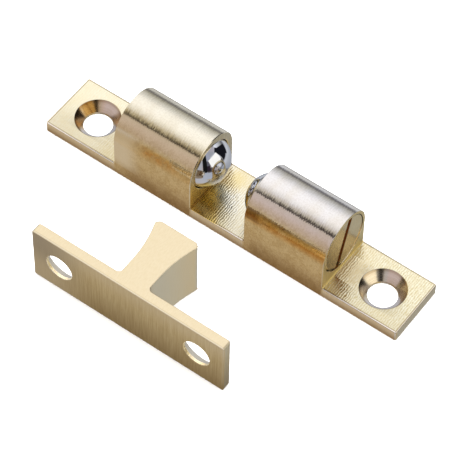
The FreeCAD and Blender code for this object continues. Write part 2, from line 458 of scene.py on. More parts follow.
def metal_material(name, colour, roughness):
    """Starts a metal: its node tree, its shader, the place in mm and the surface's normal."""
    material = bpy.data.materials.new(name)
    material.use_nodes = True
    tree = material.node_tree
    tree.nodes.clear()
    look = {"Metallic": 1.0, "Base Color": linear(colour), "Roughness": roughness}
    shader = add(tree, "ShaderNodeBsdfPrincipled", look)
    add(tree, "ShaderNodeOutputMaterial", {"Surface": shader.outputs[0]})
    metres = add(tree, "ShaderNodeTexCoord").outputs["Object"]
    grown = {0: metres, "Scale": 1 / MM}
    mm = add(tree, "ShaderNodeVectorMath", grown, operation="SCALE").outputs[0]
    normal = add(tree, "ShaderNodeNewGeometry").outputs["Normal"]
    return material, tree, shader, mm, normal


def lines(tree, place, scale, detail=2.0, rough=0.55):
    """Even noise from 0 to 1 of a place multiplied by a scale for each direction, per mm."""
    stretched = add(tree, "ShaderNodeVectorMath", {0: place, 1: scale}, operation="MULTIPLY")
    wanted = {"Vector": stretched.outputs[0], "Scale": 1.0, "Detail": detail, "Roughness": rough}
    return add(tree, "ShaderNodeTexNoise", wanted).outputs["Fac"]


def marks(tree, place, scale, stray):
    """Row of tool marks from 0 to 1: a sine of 20 radians a unit along the first direction, put out
    of step by noise of up to the stray angle so that the marks wander and break off."""
    stretched = add(tree, "ShaderNodeVectorMath", {0: place, 1: scale}, operation="MULTIPLY")
    wanted = {"Vector": stretched.outputs[0], "Scale": 1.0, "Distortion": stray}
    wanted |= {"Detail": 3.0, "Detail Roughness": 0.65}
    return add(tree, "ShaderNodeTexWave", wanted).outputs["Fac"]


def rings(tree, radius, scale, detail):
    """Turning marks about an axis: noise from 0 to 1 of the distance from it alone."""
    wanted = {"W": radius, "Scale": scale, "Detail": detail}
    return add(tree, "ShaderNodeTexNoise", wanted, noise_dimensions="1D").outputs["Fac"]


def math_of(tree, operation, a, b=0.0, c=0.0):
    """Result of one operation on up to three numbers or outputs."""
    return add(tree, "ShaderNodeMath", {0: a, 1: b, 2: c}, operation=operation).outputs[0]


def times(tree, *values):
    """Product of some numbers or outputs."""
    product = values[0]
    for value in values[1:]:
        product = math_of(tree, "MULTIPLY", product, value)
    return product


def less(tree, value):
    """What a value leaves of 1."""
    return math_of(tree, "SUBTRACT", 1.0, value)


def eased(tree, value, low, high, start=0.0, stop=1.0):
    """Number that goes smoothly from start to stop while the value goes from low to high."""
    wanted = {"Value": value, 1: low, 2: high, 3: start, 4: stop}
    return add(tree, "ShaderNodeMapRange", wanted, interpolation_type="SMOOTHSTEP").outputs[0]


def between(tree, value, rise, fall, most=1.0):
    """0 outside two pairs of values, most between them: up over one pair, down over the other."""
    return times(tree, eased(tree, value, *rise), eased(tree, value, *fall, most, 0.0))


def mixed(tree, share, a, b, blend="MIX"):
    """Colour a where share is 0 and b where it is 1, or a multiplied by b there. A colour is an
    output, a hex text or four linear parts."""
    a, b = (linear(colour) if isinstance(colour, str) else colour for colour in (a, b))
    wanted = {"Factor": share, 6: a, 7: b}
    return add(tree, "ShaderNodeMix", wanted, data_type="RGBA", blend_type=blend).outputs[2]


def distance(tree, u, v):
    """Length of the flat vector (u, v)."""
    arm = add(tree, "ShaderNodeCombineXYZ", {0: u, 1: v}).outputs[0]
    return add(tree, "ShaderNodeVectorMath", {0: arm}, operation="LENGTH").outputs["Value"]


def near_point(tree, place, point, scale, inner, outer):
    """1 within the inner distance of a point and 0 past the outer one, each axis scaled first."""
    off = add(tree, "ShaderNodeVectorMath", {0: place, 1: point}, operation="SUBTRACT").outputs[0]
    off = add(tree, "ShaderNodeVectorMath", {0: off, 1: scale}, operation="MULTIPLY").outputs[0]
    far = add(tree, "ShaderNodeVectorMath", {0: off}, operation="LENGTH").outputs["Value"]
    return eased(tree, far, inner, outer, 1.0, 0.0)


def centred(tree, noise, strength):
    """Noise from 0 to 1 moved to lie about 0, times a strength."""
    return times(tree, math_of(tree, "SUBTRACT", noise, 0.5), strength)


def crossed(tree, axis, normal):
    """Direction along the surface that is square to an axis."""
    pair = {0: axis, 1: normal}
    return add(tree, "ShaderNodeVectorMath", pair, operation="CROSS_PRODUCT").outputs[0]


def tilted(tree, normal, across, amount):
    """Normal turned by a small amount towards the direction across the lines."""
    push = {0: across, "Scale": amount}
    push = add(tree, "ShaderNodeVectorMath", push, operation="SCALE").outputs[0]
    both = add(tree, "ShaderNodeVectorMath", {0: normal, 1: push}, operation="ADD").outputs[0]
    return add(tree, "ShaderNodeVectorMath", {0: both}, operation="NORMALIZE").outputs[0]


def body_places(tree, mm, normal):
    """Where a point of the body lies: its place in mm, and how much it belongs to each part of the
    body, from 0 to 1. Ground parts are the housings' arches and sides."""
    at = SimpleNamespace(mm=mm)
    at.x, at.y, at.z = add(tree, "ShaderNodeSeparateXYZ", {0: mm}).outputs
    at.facing_x, facing_y, facing_z = add(tree, "ShaderNodeSeparateXYZ", {0: normal}).outputs
    at.reach = math_of(tree, "ABSOLUTE", at.x)
    at.right = eased(tree, at.x, -1.0, 1.0)
    at.front = math_of(tree, "LESS_THAN", at.y, 0.0)
    at.end_face = math_of(tree, "GREATER_THAN", math_of(tree, "ABSOLUTE", at.facing_x), 0.8)
    at.upright = eased(tree, math_of(tree, "ABSOLUTE", facing_y), 0.6, 0.95)
    at.level = less(tree, at.upright)
    at.on_housing = between(tree, at.reach, (4.3, 4.8), (17.5, 18.0))
    at.arch = times(tree, eased(tree, at.z, 2.0, 2.3), less(tree, at.end_face))
    at.ground = math_of(tree, "MAXIMUM", at.arch, times(tree, at.on_housing, at.upright))
    sunk = math_of(tree, "LESS_THAN", at.z, PLATE - 0.03)
    at.cone = times(tree, sunk, math_of(tree, "GREATER_THAN", facing_z, 0.1))
    return at


def body_grain(tree, at):
    """Noises that the body's tints and its relief share. Belt lines and milling marks run across
    the body, and lines on end faces run upright; the rest is wear, from small to large."""
    at.coarse = lines(tree, at.mm, (2.9, 0.07, 0.07))
    at.end_lines = lines(tree, at.mm, (0.1, 6.0, 0.2))
    at.milled = marks(tree, at.mm, (0.93, 1.1, 1.1), 6.0)
    at.grit = lines(tree, at.mm, (4.4, 1.6, 1.6), 2.0, 0.6)
    at.ragged = lines(tree, at.mm, (3.8, 1.3, 1.3), 3.0, 0.75)
    at.blotch = lines(tree, at.mm, (1.1, 0.9, 0.9), 3.0, 0.7)
    at.wander = lines(tree, at.mm, (0.5, 0.12, 0.12), 1.0)
    at.cloud = lines(tree, at.mm, (0.25, 0.2, 0.2), 3.0)
    gritty = eased(tree, at.grit, 0.3, 0.7, 0.0, 0.5)
    at.speckle = math_of(tree, "MULTIPLY_ADD", at.milled, 0.5, gritty)


def plate_tint(tree, at):
    """Plate between and beside the housings, with its countersinks, and along its rounded top edge
    a painted highlight line with a painted dark line of shade just inside it.

    Milling marks catch the light in specks. A painted shadow darkens the strip beside the right
    housing, and the plate grows darker towards the front.
    """
    inner = mixed(tree, at.speckle, "#EADDBA", "#FFFEF4")
    inner = mixed(tree, eased(tree, at.reach, 16.0, 17.0), inner, "#F9F1DA", "MULTIPLY")
    dark = mixed(tree, at.right, "#FAECC8", "#E4D3A2")
    outer = mixed(tree, at.speckle, dark, mixed(tree, at.right, "#FFF8DC", "#FFFAE0"))
    tint = mixed(tree, eased(tree, at.reach, 18.5, 23.5), inner, outer)
    # Painted shadow on the strip of the right tab beside the right housing.
    along = between(tree, at.x, (17.5, 18.0), (20.0, 22.5))
    beside_housing_shadow = times(tree, along, between(tree, at.y, (-4.0, -1.0), (0.5, 3.0)))
    tint = mixed(tree, beside_housing_shadow, tint, "#E5DFD7", "MULTIPLY")
    tint = mixed(tree, eased(tree, at.cloud, 0.35, 0.7, 0.0, 0.4), tint, "#F6E6B8")
    # Darker towards the front, more so on the left tab.
    front_darkening = eased(tree, at.y, -6.0, 2.5, 0.75, 0.0)
    front_darkening = times(tree, front_darkening, eased(tree, at.x, -19.0, -17.0, 1.5, 1.0))
    tint = mixed(tree, front_darkening, tint, "#E7E5E2", "MULTIPLY")
    tint = mixed(tree, at.cone, tint, countersink_tint(tree, at))

    off_end = math_of(tree, "SUBTRACT", END, at.reach)
    rim = math_of(tree, "SUBTRACT", HALF_WIDTH, math_of(tree, "ABSOLUTE", at.y))
    rim = math_of(tree, "MINIMUM", rim, off_end)
    tab = times(tree, less(tree, at.on_housing), eased(tree, at.z, 1.9, 2.0, 1.0, 0.0))
    # Painted shade: a dark line just inside the plate's rounded top edge. The edge itself gets a
    # painted highlight.
    shade = between(tree, rim, (EDGE, EDGE + 0.04), (0.28, 0.36), 0.6)
    shade = times(tree, shade, tab, eased(tree, at.z, PLATE - 0.04, PLATE - 0.01))
    tint = mixed(tree, shade, tint, "#94794C")
    at.arris = times(
        tree, tab, eased(tree, rim, EDGE, EDGE + 0.04, 1.0, 0.0),
        eased(tree, at.z, PLATE - 0.16, PLATE - 0.1), eased(tree, off_end, 0.15, 0.25, 0.45, 1.0),
    )
    return mixed(tree, at.arris, tint, "#FBEFE2")


def countersink_tint(tree, at):
    """Bored cones, with turning marks and a dark band near the rim, and a painted reflection that
    makes their left walls warmer.
    """
    # Painted reflection: walls that face right take a warmer tint.
    warm = mixed(tree, at.right, "#EBC791", "#EFDFC0")
    tint = mixed(tree, eased(tree, at.facing_x, 0.1, 0.5), "#F6EDE9", warm)
    radius = distance(tree, math_of(tree, "SUBTRACT", at.reach, SCREW_HOLE_X), at.y)
    ringed = eased(tree, rings(tree, radius, 4.5, 1.0), 0.35, 0.65, 0.0, 0.22)
    ringed = math_of(tree, "MAXIMUM", ringed, eased(tree, radius, 2.95, 3.25, 0.0, 0.8))
    return mixed(tree, ringed, tint, "#CBBFAD", "MULTIPLY")


def housing_tint(tree, at):
    """Arches and sides of the housings: whiter on top and more golden on the sides, which is
    painted highlight standing for the washed-out tops; mottled on the sides, with one ragged
    painted dark line along the left arch, a painted reflection of a dark gap in the studio."""
    # Painted highlight: the arches take whiter tints than the more golden sides.
    left = mixed(tree, eased(tree, at.y, -3.2, -0.6), "#F4E9CB", "#F9F1DC")
    # Painted reflection: a ragged dark line along the left arch, from a dark gap in the studio.
    painted_dark_line = between(tree, at.y, (-3.0, -2.6), (-2.4, -1.7), 0.9)
    painted_dark_line = times(tree, painted_dark_line, eased(tree, at.ragged, 0.25, 0.6))
    left = mixed(tree, painted_dark_line, left, "#B5A685")
    tint = mixed(tree, at.right, left, "#F4EFEA")
    tint = mixed(tree, eased(tree, at.wander, 0.4, 0.7, 0.0, 0.25), tint, "#E6D9BC")
    tint = mixed(tree, at.upright, tint, mixed(tree, at.coarse, "#F2E0B8", "#F9EACB"))
    most = math_of(tree, "MULTIPLY_ADD", at.upright, 0.5, 0.25)
    specks = lines(tree, at.mm, (3.6, 3.2, 3.2), 2.0, 0.7)
    tint = mixed(tree, eased(tree, specks, 0.62, 0.36, 0.0, most), tint, "#E7E2DA", "MULTIPLY")
    mottled = times(tree, eased(tree, at.blotch, 0.6, 0.4, 0.0, 0.8), at.upright)
    return mixed(tree, mottled, tint, "#ECE6DA", "MULTIPLY")


def foot_shade_and_reflection(tree, at, tint):
    """Body's tint with painted shade that darkens its sides towards the foot, and a painted amber
    reflection of the brass strike along the front shoulders of the arches. The left housing's arch
    is paler towards its outer end."""
    # Painted shade: upright faces darken towards the foot, most on the housings, less at the left
    # housing's outer end and the right housing's inner end.
    low_housing = times(tree, at.on_housing, eased(tree, at.z, 0.0, 5.5, 1.0, 0.0))
    inner_end = eased(tree, at.x, 4.5, 7.0, 0.5, 1.0)
    inner_end = math_of(tree, "MAXIMUM", inner_end, eased(tree, at.x, 0.0, 1.0, 1.0, 0.0))
    lighter = math_of(tree, "MINIMUM", eased(tree, at.x, -17.5, -13.5, 0.35, 1.0), inner_end)
    low = times(tree, low_housing, lighter)
    low = math_of(tree, "MAXIMUM", low, eased(tree, at.z, 0.0, 1.7, 0.9, 0.0))
    tint = mixed(tree, times(tree, low, at.upright), tint, "#B6A48E", "MULTIPLY")

    # Painted reflection of the brass strike: an amber band along the front shoulders of the right
    # arch, and a streak of it on the left one.
    streak = times(
        tree, eased(tree, at.x, -13.6, -12.0, 0.0, 0.8), eased(tree, at.x, -9.0, -6.0, 1.0, 0.3),
        eased(tree, at.blotch, 0.35, 0.6, 0.25, 1.0),
    )
    strike_reflection = times(
        tree, math_of(tree, "MAXIMUM", at.right, streak), at.front, at.arch,
        between(tree, at.z, (7.0, 8.4), (8.9, 9.4)), eased(tree, at.wander, 0.2, 0.5, 0.7, 1.0),
    )
    amber = mixed(tree, eased(tree, at.z, 8.5, 9.0), "#F1CB90", "#FDE5AD")
    tint = mixed(tree, strike_reflection, tint, amber, "MULTIPLY")
    # The left housing's arch is paler towards its outer end.
    paler_left_end = times(
        tree, eased(tree, at.x, -16.0, -12.8, 0.9, 0.0), at.front, at.arch,
        between(tree, at.z, (1.0, 4.0), (9.2, 9.8)),
    )
    return mixed(tree, paler_left_end, tint, "#FFFAF2")


def mouth_reflections(tree, at, tint):
    """Body's tint with painted reflections in the mouth: a faint golden patch behind the left ball,
    for the ball to mirror, and a golden corner in front of it, the plate's mirror image of the left
    housing's inner face, that spreads over the plate and a little up the housing's face."""
    # Painted reflection: a faint golden patch behind the left ball, which the ball mirrors.
    patch = near_point(tree, at.mm, (-2.3, 2.9, PLATE), (0.7, 0.6, 1), 0.3, 2.0)
    tint = mixed(tree, times(tree, patch, 0.6, at.level), tint, "#F6DC8C")
    # Painted reflection of the left housing's inner face: a golden wedge on the plate in front of
    # the left ball, with a faint halo round it, reaching a little up the face.
    corner = math_of(tree, "MULTIPLY_ADD", at.y, -0.7, math_of(tree, "SUBTRACT", -3.4, at.x))
    halo = times(
        tree, eased(tree, corner, -2.4, -0.4, 0.0, 0.8), at.level,
        eased(tree, at.reach, 4.4, 4.6, 1.0, 0.0),
    )
    tint = mixed(tree, halo, tint, "#F6EFD4", "MULTIPLY")
    deep = near_point(tree, at.mm, (-2.6, -4.3, PLATE), (0.8, 1.1, 1), 0.3, 1.8)
    gold = mixed(tree, times(tree, deep, 0.55), "#FFDC70", "#D9A850")
    gold = mixed(tree, times(tree, at.speckle, 0.5), gold, "#D9B25C")
    on_face = mixed(tree, eased(tree, at.cloud, 0.35, 0.65), "#D8BC84", "#C9A461")
    gold = mixed(tree, at.end_face, gold, on_face)
    uneven = math_of(tree, "ADD", corner, centred(tree, at.grit, 2.0))
    off_bore = distance(tree, at.y, math_of(tree, "SUBTRACT", at.z, BORE_HEIGHT))
    share = times(
        tree, eased(tree, uneven, -0.8, 0.9), at.level,
        between(tree, at.x, (-4.75, -4.6), (-0.5, 0.5)), eased(tree, off_bore, 4.1, 4.4),
        eased(tree, at.z, 3.0, 5.5, 1.0, 0.0), eased(tree, at.z, 1.8, 2.2, 0.85, 0.5),
    )
    return mixed(tree, share, tint, gold)


def body_relief(tree, at, normal):
    """Body's normal, tilted by its marks: milling marks and belt lines on the plate, fainter
    outwards and on the left tab, finer lines and ragged waves on the housings."""
    worn = times(
        tree, eased(tree, at.reach, 5.0, 17.5, 0.22, 0.14),
        eased(tree, at.reach, 19.0, 24.0, 1.0, 0.25), eased(tree, at.x, -19.0, -18.0, 0.5, 1.0),
    )
    milled = times(tree, centred(tree, at.milled, 1.0), worn)
    plate = math_of(tree, "ADD", centred(tree, at.coarse, 0.05), milled)
    plate = times(tree, plate, less(tree, at.cone))
    fine = lines(tree, at.mm, (13.0, 0.25, 0.25), 1.0)
    ground = math_of(tree, "ADD", centred(tree, at.coarse, 0.07), centred(tree, fine, 0.12))
    amount = add(tree, "ShaderNodeMix", {"Factor": at.ground, 2: plate, 3: ground}).outputs[0]
    ends = {"Factor": at.end_face, 2: amount, 3: centred(tree, at.end_lines, 0.14)}
    amount = add(tree, "ShaderNodeMix", ends).outputs[0]
    across = {0: less(tree, at.end_face), 1: at.end_face}
    across = add(tree, "ShaderNodeCombineXYZ", across).outputs[0]
    lined = tilted(tree, normal, across, amount)
    wave = math_of(tree, "ADD", centred(tree, at.ragged, 0.12), centred(tree, at.milled, 0.03))
    around = crossed(tree, (1, 0, 0), normal)
    lined = tilted(tree, lined, around, times(tree, wave, at.arch))
    return tilted(tree, lined, (0, 0, 1), times(tree, at.arris, 1.2))


def body_brass():
    """Milled, belt-brushed brass of the catch body. Its pale tints are painted highlight: they
    stand in for highlights that wash out to white. It is yellow and satin on the plate, whiter and
    glossier on the ground housings, whose whiter tint is painted highlight too.

    Tool and belt marks are fine parallel lines whose walls tilt the normal across them, so that a
    reflection smears that way and breaks up in steps. Real lines are some 0.02 mm apart; they are
    drawn 0.08 mm and 0.34 mm apart, as coarse as they show. Sides grow darker and warmer towards
    the foot: painted shade, standing for the shaded floor near the foot that they mirror. Fillets
    at the housings' feet are rough, because neither the belt nor the wheel gets into them; the
    inner fillets carry painted shade, and the outer ones a painted highlight line.
    """
    material, tree, shader, mm, normal = metal_material("milled_brushed_brass", "#F0DFA8", 0.3)
    at = body_places(tree, mm, normal)
    body_grain(tree, at)
    tint = mixed(tree, at.ground, plate_tint(tree, at), housing_tint(tree, at))
    end_tint = mixed(tree, eased(tree, at.end_lines, 0.3, 0.7), "#D9C79E", "#EBDDB8")
    tint = mixed(tree, at.end_face, tint, end_tint)
    plate_side = times(tree, at.upright, less(tree, at.on_housing))
    tint = mixed(tree, plate_side, tint, mixed(tree, at.coarse, "#F1E5D0", "#FFF7EA"))
    tint = mouth_reflections(tree, at, foot_shade_and_reflection(tree, at, tint))
    # Painted shade in the inner fillets at the mouth, and a painted highlight line along the outer
    # fillets.
    inner_foot = times(
        tree, between(tree, at.reach, (4.33, 4.4), (4.53, 4.56)), at.level,
        eased(tree, at.z, 1.82, 2.1, 1.0, 0.0),
    )
    outer_foot = times(tree, between(tree, at.reach, (17.7, 17.8), (17.9, 17.98)), at.level)
    tint = mixed(tree, inner_foot, tint, "#DDCBAD", "MULTIPLY")
    tint = mixed(tree, outer_foot, tint, "#FFEBA6")
    tree.links.new(tint, shader.inputs["Base Color"])
    tree.links.new(body_relief(tree, at, normal), shader.inputs["Normal"])

    polish = math_of(tree, "MAXIMUM", at.ground, at.arris)
    rough = add(tree, "ShaderNodeMapRange", {"Value": polish, 3: 0.2, 4: 0.08}).outputs[0]
    foot = math_of(tree, "MAXIMUM", outer_foot, inner_foot)
    rough = math_of(tree, "MULTIPLY_ADD", foot, 0.5, rough)
    left_back = times(tree, eased(tree, at.y, 1.8, 3.4), at.arch, less(tree, at.right))
    rough = math_of(tree, "MULTIPLY_ADD", left_back, 0.14, rough)
    rough = math_of(tree, "ADD", rough, centred(tree, at.coarse, 0.06))
    tree.links.new(rough, shader.inputs["Roughness"])
    return material


def strike_brass():
    """Extruded, sawn and brushed brass of the strike. Lines run along Z, the extrusion's direction,
    on every upright face, and along Y on the sawn ends, which are paler: painted highlight. Upright
    faces grow darker towards the foot and lighter towards the top, painted shade and light as on
    the body, and take painted light by the way they face. Lacquer fills the pores of the drilled
    holes, so that they shine less like metal."""
    material, tree, shader, mm, normal = metal_material("extruded_brushed_brass", "#EEDCA6", 0.32)
    x, y, z = add(tree, "ShaderNodeSeparateXYZ", {0: mm}).outputs
    facing_x, facing_y, facing_z = add(tree, "ShaderNodeSeparateXYZ", {0: normal}).outputs
    sawn = math_of(tree, "GREATER_THAN", math_of(tree, "ABSOLUTE", facing_z), 0.8)
    coarse = lines(tree, mm, (3.2, 3.2, 0.06))
    fine = lines(tree, mm, (12.0, 12.0, 0.3), 2.0, 0.7)
    saw = lines(tree, mm, (5.0, 1.4, 1.0), 2.0, 0.7)

    streak = eased(tree, math_of(tree, "ADD", centred(tree, coarse, 0.5), fine), 0.25, 0.75)
    side = mixed(tree, streak, "#D6C9A6", "#F3EACB")
    # Painted light: upright faces lighter towards the top.
    side = mixed(tree, eased(tree, z, 6.0, 10.0, 0.0, 0.6), side, "#F1EBDC")
    facing_front = eased(tree, facing_y, -0.6, -0.2, 1.0, 0.0)
    left_end = times(tree, eased(tree, x, -15.0, -5.0, 1.0, 0.0), facing_front)
    side = mixed(tree, times(tree, left_end, 0.75), side, "#DAD5CC")
    dim = times(tree, left_end, eased(tree, z, 2.0, 7.5))
    side = mixed(tree, dim, side, "#DADBE2", "MULTIPLY")
    # Painted shade: upright faces darker towards the foot.
    low = times(
        tree, eased(tree, z, -3.0, 10.0, 1.0, 0.0), eased(tree, x, -15.0, -3.0, 0.15, 1.0),
        eased(tree, facing_y, 0.2, 0.6, 1.0, 0.0), eased(tree, y, -23.4, -22.4, 1.0, 0.3),
    )
    side = mixed(tree, low, side, "#A6977E", "MULTIPLY")
    # Painted light by the way a face is turned: lighter to the back, warmer to the right, lighter
    # again on the head's sides turned right.
    side = mixed(tree, eased(tree, facing_y, 0.3, 0.8), side, "#FFF3DC")
    facing_right = eased(tree, facing_x, 0.3, 0.9)
    side = mixed(tree, facing_right, side, "#FFF6DF", "MULTIPLY")
    on_head = times(tree, facing_right, eased(tree, y, -23.4, -22.4, 0.0, 0.85))
    side = mixed(tree, on_head, side, "#FFF5D6")
    tint = mixed(tree, sawn, side, mixed(tree, eased(tree, saw, 0.3, 0.7), "#F3E0B7", "#F8E6C0"))

    # Painted shade: a dark line just inside the front top edge, and a painted highlight on the edge
    # itself.
    inside = math_of(tree, "SUBTRACT", y, STRIKE_FRONT)
    shade = between(tree, inside, (EDGE, EDGE + 0.04), (0.28, 0.36), 0.2)
    tint = mixed(tree, times(tree, shade, sawn), tint, "#A58A58")
    upper = eased(tree, z, STRIKE_HEIGHT - EDGE, STRIKE_HEIGHT - 0.09)
    arris = times(tree, eased(tree, inside, EDGE, EDGE + 0.04, 1.0, 0.0), upper)
    tint = mixed(tree, arris, tint, "#F6E9CC")
    # Painted shade on the face of the tip, which faces the body.
    tip_shade = times(tree, eased(tree, y, -14.5, -13.8), eased(tree, facing_y, 0.5, 0.9), 0.6)
    tint = mixed(tree, tip_shade, tint, "#A67A3E")
    tree.links.new(tint, shader.inputs["Base Color"])

    across = mixed(tree, sawn, crossed(tree, (0, 0, 1), normal), (1, 0, 0, 1))
    amount = math_of(tree, "ADD", centred(tree, coarse, 0.1), centred(tree, fine, 0.34))
    amount = {"Factor": sawn, 2: amount, 3: centred(tree, saw, 0.16)}
    amount = add(tree, "ShaderNodeMix", amount).outputs[0]
    lined = tilted(tree, normal, across, amount)
    lined = tilted(tree, lined, (0, 0, 1), times(tree, arris, 0.8))
    tree.links.new(lined, shader.inputs["Normal"])

    off_hole = math_of(tree, "SUBTRACT", math_of(tree, "ABSOLUTE", x), STRIKE_HOLE_X)
    radius = distance(tree, off_hole, math_of(tree, "SUBTRACT", z, STRIKE_HEIGHT / 2))
    drilled = math_of(tree, "LESS_THAN", radius, HOLE + 0.05)
    drilled = times(tree, drilled, math_of(tree, "LESS_THAN", y, STRIKE_BACK))
    rough = math_of(tree, "MULTIPLY_ADD", drilled, -0.15, centred(tree, coarse, 0.1))
    tree.links.new(math_of(tree, "ADD", 0.3, rough), shader.inputs["Roughness"])
    bare = math_of(tree, "MULTIPLY_ADD", drilled, -0.6, 1.0)
    tree.links.new(bare, shader.inputs["Metallic"])
    return material


def screw_brass():
    """Turned brass of the adjusting screws: faint rings about the axis from the lathe's tool, and a
    saw-cut slot that is rougher and tinted dark brown, painted shade in its recess."""
    material, tree, shader, mm, normal = metal_material("turned_brass", "#E6CE93", 0.28)
    x, y, z = add(tree, "ShaderNodeSeparateXYZ", {0: mm}).outputs
    height = math_of(tree, "SUBTRACT", z, BORE_HEIGHT)
    radius = distance(tree, y, height)
    outwards = add(tree, "ShaderNodeCombineXYZ", {1: y, 2: height}).outputs[0]
    outwards = add(tree, "ShaderNodeVectorMath", {0: outwards}, operation="NORMALIZE").outputs[0]
    turned_rings = centred(tree, rings(tree, radius, 5.0, 2.0), 0.2)
    tree.links.new(tilted(tree, normal, outwards, turned_rings), shader.inputs["Normal"])
    cloud = lines(tree, mm, (0.6, 0.6, 0.6), 3.0)
    reach = math_of(tree, "ABSOLUTE", x)
    # Painted shade: the slot is tinted dark brown, and it is rougher.
    slotted = times(
        tree, math_of(tree, "GREATER_THAN", reach, 17.0),
        eased(tree, reach, 17.58, 17.64, 1.0, 0.0), eased(tree, radius, 3.9, 4.05, 1.0, 0.0),
    )
    tint = mixed(tree, slotted, mixed(tree, cloud, "#F3E3B4", "#E4CC90"), "#C08A4C")
    tree.links.new(tint, shader.inputs["Base Color"])
    rough = math_of(tree, "MULTIPLY_ADD", slotted, 0.4, times(tree, cloud, 0.1))
    tree.links.new(math_of(tree, "ADD", 0.2, rough), shader.inputs["Roughness"])
    return material


def ball_chrome():
    """Hard chrome-plated, lapped steel: a near mirror with a few faint handling marks."""
    material, tree, shader, mm, _ = metal_material("lapped_chrome", "#E4E5EA", 0.04)
    cloud = lines(tree, mm, (0.9, 0.9, 0.9), 4.0)
    tree.links.new(mixed(tree, cloud, "#ECEDF0", "#D6D7DC"), shader.inputs["Base Color"])
    tree.links.new(times(tree, cloud, 0.08), shader.inputs["Roughness"])
    return material


def spring_steel():
    """Drawn spring wire: grey steel, a little darker and duller where oil has stayed on it."""
    material, tree, shader, mm, _ = metal_material("drawn_spring_steel", "#9C9CA0", 0.3)
    cloud = lines(tree, mm, (3.0, 3.0, 3.0), 3.0)
    tree.links.new(mixed(tree, cloud, "#A9A9AE", "#7C7B7E"), shader.inputs["Base Color"])
    rough = math_of(tree, "MULTIPLY_ADD", cloud, 0.2, 0.2)
    tree.links.new(rough, shader.inputs["Roughness"])
    return material


def direction(azimuth, elevation):
    """Unit vector to a place in the studio: azimuth 0 is in front of the body, 90 at its right."""
    a, e = math.radians(azimuth), math.radians(elevation)
    return (math.sin(a) * math.cos(e), -math.cos(a) * math.cos(e), math.sin(e))


def along(tree, ray, axis):
    """How far a ray of length 1 goes along an axis."""
    pair = {0: ray, 1: tuple(axis)}
    return add(tree, "ShaderNodeVectorMath", pair, operation="DOT_PRODUCT").outputs["Value"]


def panel(tree, ray, behind, place, half_wide, half_high, spin, edge, colour):
    """A lamp, flag or wall in the studio, over what is behind it. Its sides are planes through the
    middle of the room, so a ray meets it if the ray's slopes along the panel's two sides are both
    under the half sizes. All sizes are in degrees, and the edge is how soft its rim is. Grazing is
    the least that a ray may go the panel's way, which keeps out those behind it."""
    grazing = 0.05
    out = Vector(direction(*place))
    side = Vector((0, 0, 1)).cross(out).normalized()
    up = out.cross(side)
    s, c = math.sin(math.radians(spin)), math.cos(math.radians(spin))
    side, up = side * c + up * s, up * c - side * s
    ahead = along(tree, ray, out)
    share = math_of(tree, "GREATER_THAN", ahead, grazing)
    for axis, half in ((side, half_wide), (up, half_high)):
        off = math_of(tree, "ABSOLUTE", along(tree, ray, axis))
        slope = math_of(tree, "DIVIDE", off, math_of(tree, "MAXIMUM", ahead, grazing))
        angle = math_of(tree, "ARCTANGENT", slope)
        low, high = math.radians(half - edge / 2), math.radians(half + edge / 2)
        share = times(tree, share, eased(tree, angle, low, high, 1.0, 0.0))
    return mixed(tree, share, behind, (*colour, 1))


